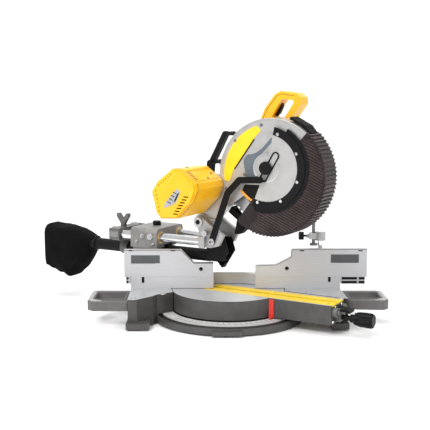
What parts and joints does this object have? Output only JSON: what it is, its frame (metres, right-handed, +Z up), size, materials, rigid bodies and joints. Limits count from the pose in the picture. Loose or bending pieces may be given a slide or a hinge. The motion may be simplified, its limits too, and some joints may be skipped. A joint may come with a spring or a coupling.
{
  "type": "sliding miter saw",
  "caption": "Twin-rail sliding miter saw with bevelling head, swinging lower guard, rotary table, sliding fences, work clamp and dust bag.",
  "frame": {"origin": "the miter axis where it meets the bench, on the bottom face of the base's centre boss", "axes": "+Z up along the miter axis, +X to the operator's right along the fence, +Y away from the operator; the fence face is the plane Y = 0"},
  "size_m": [1.0285, 0.5851, 0.6479],
  "materials": {
    "base_casting": "cast, dark grey paint",
    "base_feet": "matt",
    "miter_scale": "brushed",
    "detent_plate": "black",
    "carry_handles": "dark grey paint",
    "fence_fixed": "machined",
    "fence_screws": "zinc plated",
    "pivot_bolt": "plain",
    "clamp_post": "bright",
    "fence_left": "machined",
    "fence_right": "machined",
    "fence_knob_left": "black",
    "fence_knob_right": "black",
    "clamp_arm": "cast",
    "clamp_lock": "black",
    "clamp_screw": "plain",
    "turntable": "machined top, grey painted sides",
    "kerf_plates": "yellow",
    "kerf_screws": "black oxide",
    "miter_pointer": "red",
    "latch_housing": "dark grey",
    "miter_latch": "black",
    "detent_pin": "plain",
    "miter_lock": "black",
    "bevel_lock": "black",
    "rail_housing": "warm grey cast",
    "rail_bearings": "plain",
    "rail_lock": "black",
    "slide_rails": "polished",
    "pivot_bracket": "cast",
    "pivot_pins": "plain",
    "return_spring": "oiled",
    "lock_pin": "plain",
    "rear_bracket": "grey cast",
    "dust_duct": "black",
    "dust_bag": "black woven",
    "head_arm": "cast, silver paint",
    "upper_guard": "silver with yellow panel",
    "guard_knob": "black",
    "bearings": "ground",
    "motor_housing": "yellow",
    "motor_cap": "yellow",
    "stator": "laminated",
    "armature": "laminated",
    "drive_belt": "matt",
    "belt_cover": "black",
    "dust_chute": "matt",
    "handle": "yellow",
    "trigger": "black",
    "carry_grip": "black",
    "spindle_lock": "black",
    "lower_guard": "smoky, translucent",
    "hub_disc": "satin",
    "guard_ring": "black",
    "ring_screws": "zinc plated",
    "guard_bumper": "matt",
    "guard_link": "black",
    "saw_blade": "ground",
    "blade_flanges": "plain",
    "arbor_spindle": "ground"
  },
  "bodies": {
    "base": {"base_casting": "base_casting", "base_feet": "base_feet", "miter_scale": "miter_scale", "detent_plate": "detent_plate", "carry_handles": "carry_handles", "fence_fixed": "fence_fixed", "fence_screws": "fence_screws", "pivot_bolt": "pivot_bolt", "clamp_post": "clamp_post"},
    "fence_left_body": {"fence_left": "fence_left"},
    "fence_right_body": {"fence_right": "fence_right"},
    "fence_knob_left_body": {"fence_knob_left": "fence_knob_left"},
    "fence_knob_right_body": {"fence_knob_right": "fence_knob_right"},
    "clamp_arm_body": {"clamp_arm": "clamp_arm"},
    "clamp_lock_body": {"clamp_lock": "clamp_lock"},
    "clamp_screw_body": {"clamp_screw": "clamp_screw"},
    "turntable_body": {"turntable": "turntable", "kerf_plates": "kerf_plates", "kerf_screws": "kerf_screws", "miter_pointer": "miter_pointer", "latch_housing": "latch_housing"},
    "miter_latch_body": {"miter_latch": "miter_latch"},
    "detent_pin_body": {"detent_pin": "detent_pin"},
    "miter_lock_body": {"miter_lock": "miter_lock"},
    "bevel_lock_body": {"bevel_lock": "bevel_lock"},
    "bevel_arm": {"rail_housing": "rail_housing", "rail_bearings": "rail_bearings"},
    "rail_lock_body": {"rail_lock": "rail_lock"},
    "carriage": {"slide_rails": "slide_rails", "pivot_bracket": "pivot_bracket", "pivot_pins": "pivot_pins", "return_spring": "return_spring", "rear_bracket": "rear_bracket", "dust_duct": "dust_duct", "dust_bag": "dust_bag"},
    "lock_pin_body": {"lock_pin": "lock_pin"},
    "head": {"head_arm": "head_arm", "upper_guard": "upper_guard", "guard_knob": "guard_knob", "bearings": "bearings", "motor_housing": "motor_housing", "motor_cap": "motor_cap", "stator": "stator", "drive_belt": "drive_belt", "belt_cover": "belt_cover", "dust_chute": "dust_chute", "handle": "handle", "carry_grip": "carry_grip"},
    "trigger_body": {"trigger": "trigger"},
    "spindle_lock_body": {"spindle_lock": "spindle_lock"},
    "lower_guard_body": {"lower_guard": "lower_guard", "hub_disc": "hub_disc", "guard_ring": "guard_ring", "ring_screws": "ring_screws", "guard_bumper": "guard_bumper"},
    "guard_link_body": {"guard_link": "guard_link"},
    "blade_body": {"saw_blade": "saw_blade", "blade_flanges": "blade_flanges", "arbor_spindle": "arbor_spindle"},
    "armature_body": {"armature": "armature"}
  },
  "joints": [
    {"name": "miter", "type": "hinge", "parent": "base", "child": "turntable_body", "pos_m": [0, 0, 0], "axis": [0, 0, 1], "range_deg": [-110, 0]},
    {"name": "bevel", "type": "hinge", "parent": "turntable_body", "child": "bevel_arm", "pos_m": [-0.22517, 0.13, 0.0829], "axis": [-0.866, 0.5, 0], "range_deg": [-4, 25]},
    {"name": "rail_slide", "type": "slide", "parent": "bevel_arm", "child": "carriage", "axis": [0.866, -0.5, 0], "range_m": [-0.13, 0.04]},
    {"name": "chop", "type": "hinge", "parent": "carriage", "child": "head", "pos_m": [-0.05906, 0.0341, 0.2787], "axis": [-0.5, -0.866, 0], "range_deg": [-44, 0]},
    {"name": "guard_swing", "type": "hinge", "parent": "head", "child": "lower_guard_body", "pos_m": [0.12124, -0.07, 0.44], "axis": [-0.5, -0.866, 0], "range_deg": [0, 100.3]},
    {"name": "link_swing", "type": "hinge", "parent": "carriage", "child": "guard_link_body", "pos_m": [-0.04802, -0.03578, 0.2256], "axis": [0.5, 0.866, 0], "range_deg": [0, 51.2]},
    {"name": "motor_spin", "type": "hinge", "parent": "head", "child": "armature_body", "pos_m": [-0.05802, 0.0335, 0.371], "axis": [0.5, 0.866, 0], "continuous": true},
    {"name": "blade_spin", "type": "hinge", "parent": "head", "child": "blade_body", "pos_m": [0.12817, -0.074, 0.417], "axis": [0.5, 0.866, 0], "continuous": true},
    {"name": "trigger_press", "type": "slide", "parent": "head", "child": "trigger_body", "axis": [-0.7344, 0.424, 0.53], "range_m": [0, 0.006], "stiffness_N_per_m": 800, "springref_m": -0.001},
    {"name": "spindle_lock_press", "type": "slide", "parent": "head", "child": "spindle_lock_body", "axis": [-0.5, -0.866, 0], "range_m": [0, 0.004], "stiffness_N_per_m": 1500, "springref_m": -0.001},
    {"name": "lock_pin_slide", "type": "slide", "parent": "carriage", "child": "lock_pin_body", "axis": [0.5, 0.866, 0], "range_m": [0, 0.008]},
    {"name": "rail_lock_turn", "type": "hinge", "parent": "bevel_arm", "child": "rail_lock_body", "pos_m": [-0.21304, 0.123, 0.25], "axis": [0, 0, 1], "range_deg": [0, 180]},
    {"name": "bevel_lock_turn", "type": "hinge", "parent": "turntable_body", "child": "bevel_lock_body", "pos_m": [-0.25981, 0.15, 0.0829], "axis": [0.866, -0.5, 0], "range_deg": [0, 60]},
    {"name": "miter_lock_turn", "type": "hinge", "parent": "turntable_body", "child": "miter_lock_body", "pos_m": [0.34641, -0.2, 0.044], "axis": [0.866, -0.5, 0], "range_deg": [0, 180]},
    {"name": "miter_latch_press", "type": "hinge", "parent": "turntable_body", "child": "miter_latch_body", "pos_m": [0.29878, -0.1725, 0.066], "axis": [0.5, 0.866, 0], "range_deg": [0, 8], "stiffness_Nm_per_rad": 1.5, "springref_deg": -5.73},
    {"name": "detent_pin_lift", "type": "slide", "parent": "turntable_body", "child": "detent_pin_body", "axis": [0, 0, 1], "range_m": [0, 0.004]},
    {"name": "fence_left_slide", "type": "slide", "parent": "base", "child": "fence_left_body", "axis": [1, 0, 0], "range_m": [-0.09, 0]},
    {"name": "fence_right_slide", "type": "slide", "parent": "base", "child": "fence_right_body", "axis": [1, 0, 0], "range_m": [0, 0.09]},
    {"name": "fence_knob_left_turn", "type": "hinge", "parent": "base", "child": "fence_knob_left_body", "pos_m": [-0.23, 0.03, 0.112], "axis": [0, 1, 0], "range_deg": [0, 180]},
    {"name": "fence_knob_right_turn", "type": "hinge", "parent": "base", "child": "fence_knob_right_body", "pos_m": [0.214, 0.03, 0.112], "axis": [0, 1, 0], "range_deg": [0, 180]},
    {"name": "clamp_swing", "type": "hinge", "parent": "base", "child": "clamp_arm_body", "pos_m": [0.269, 0.04, 0.23], "axis": [0, 0, -1], "range_deg": [0, 60]},
    {"name": "clamp_lock_turn", "type": "hinge", "parent": "clamp_arm_body", "child": "clamp_lock_body", "pos_m": [0.22, 0.04, 0.231], "axis": [1, 0, 0], "range_deg": [0, 180]},
    {"name": "clamp_screw_slide", "type": "slide", "parent": "clamp_arm_body", "child": "clamp_screw_body", "axis": [0, 0, -1], "range_m": [0, 0.035]}
  ],
  "couplings": [
    {"joint": "guard_swing", "follows": "chop", "ratio": -2.277},
    {"joint": "link_swing", "follows": "chop", "ratio": -1.16},
    {"joint": "blade_spin", "follows": "motor_spin", "ratio": 0.4},
    {"joint": "detent_pin_lift", "follows": "miter_latch_press", "m_per_rad": 0.028}
  ]
}
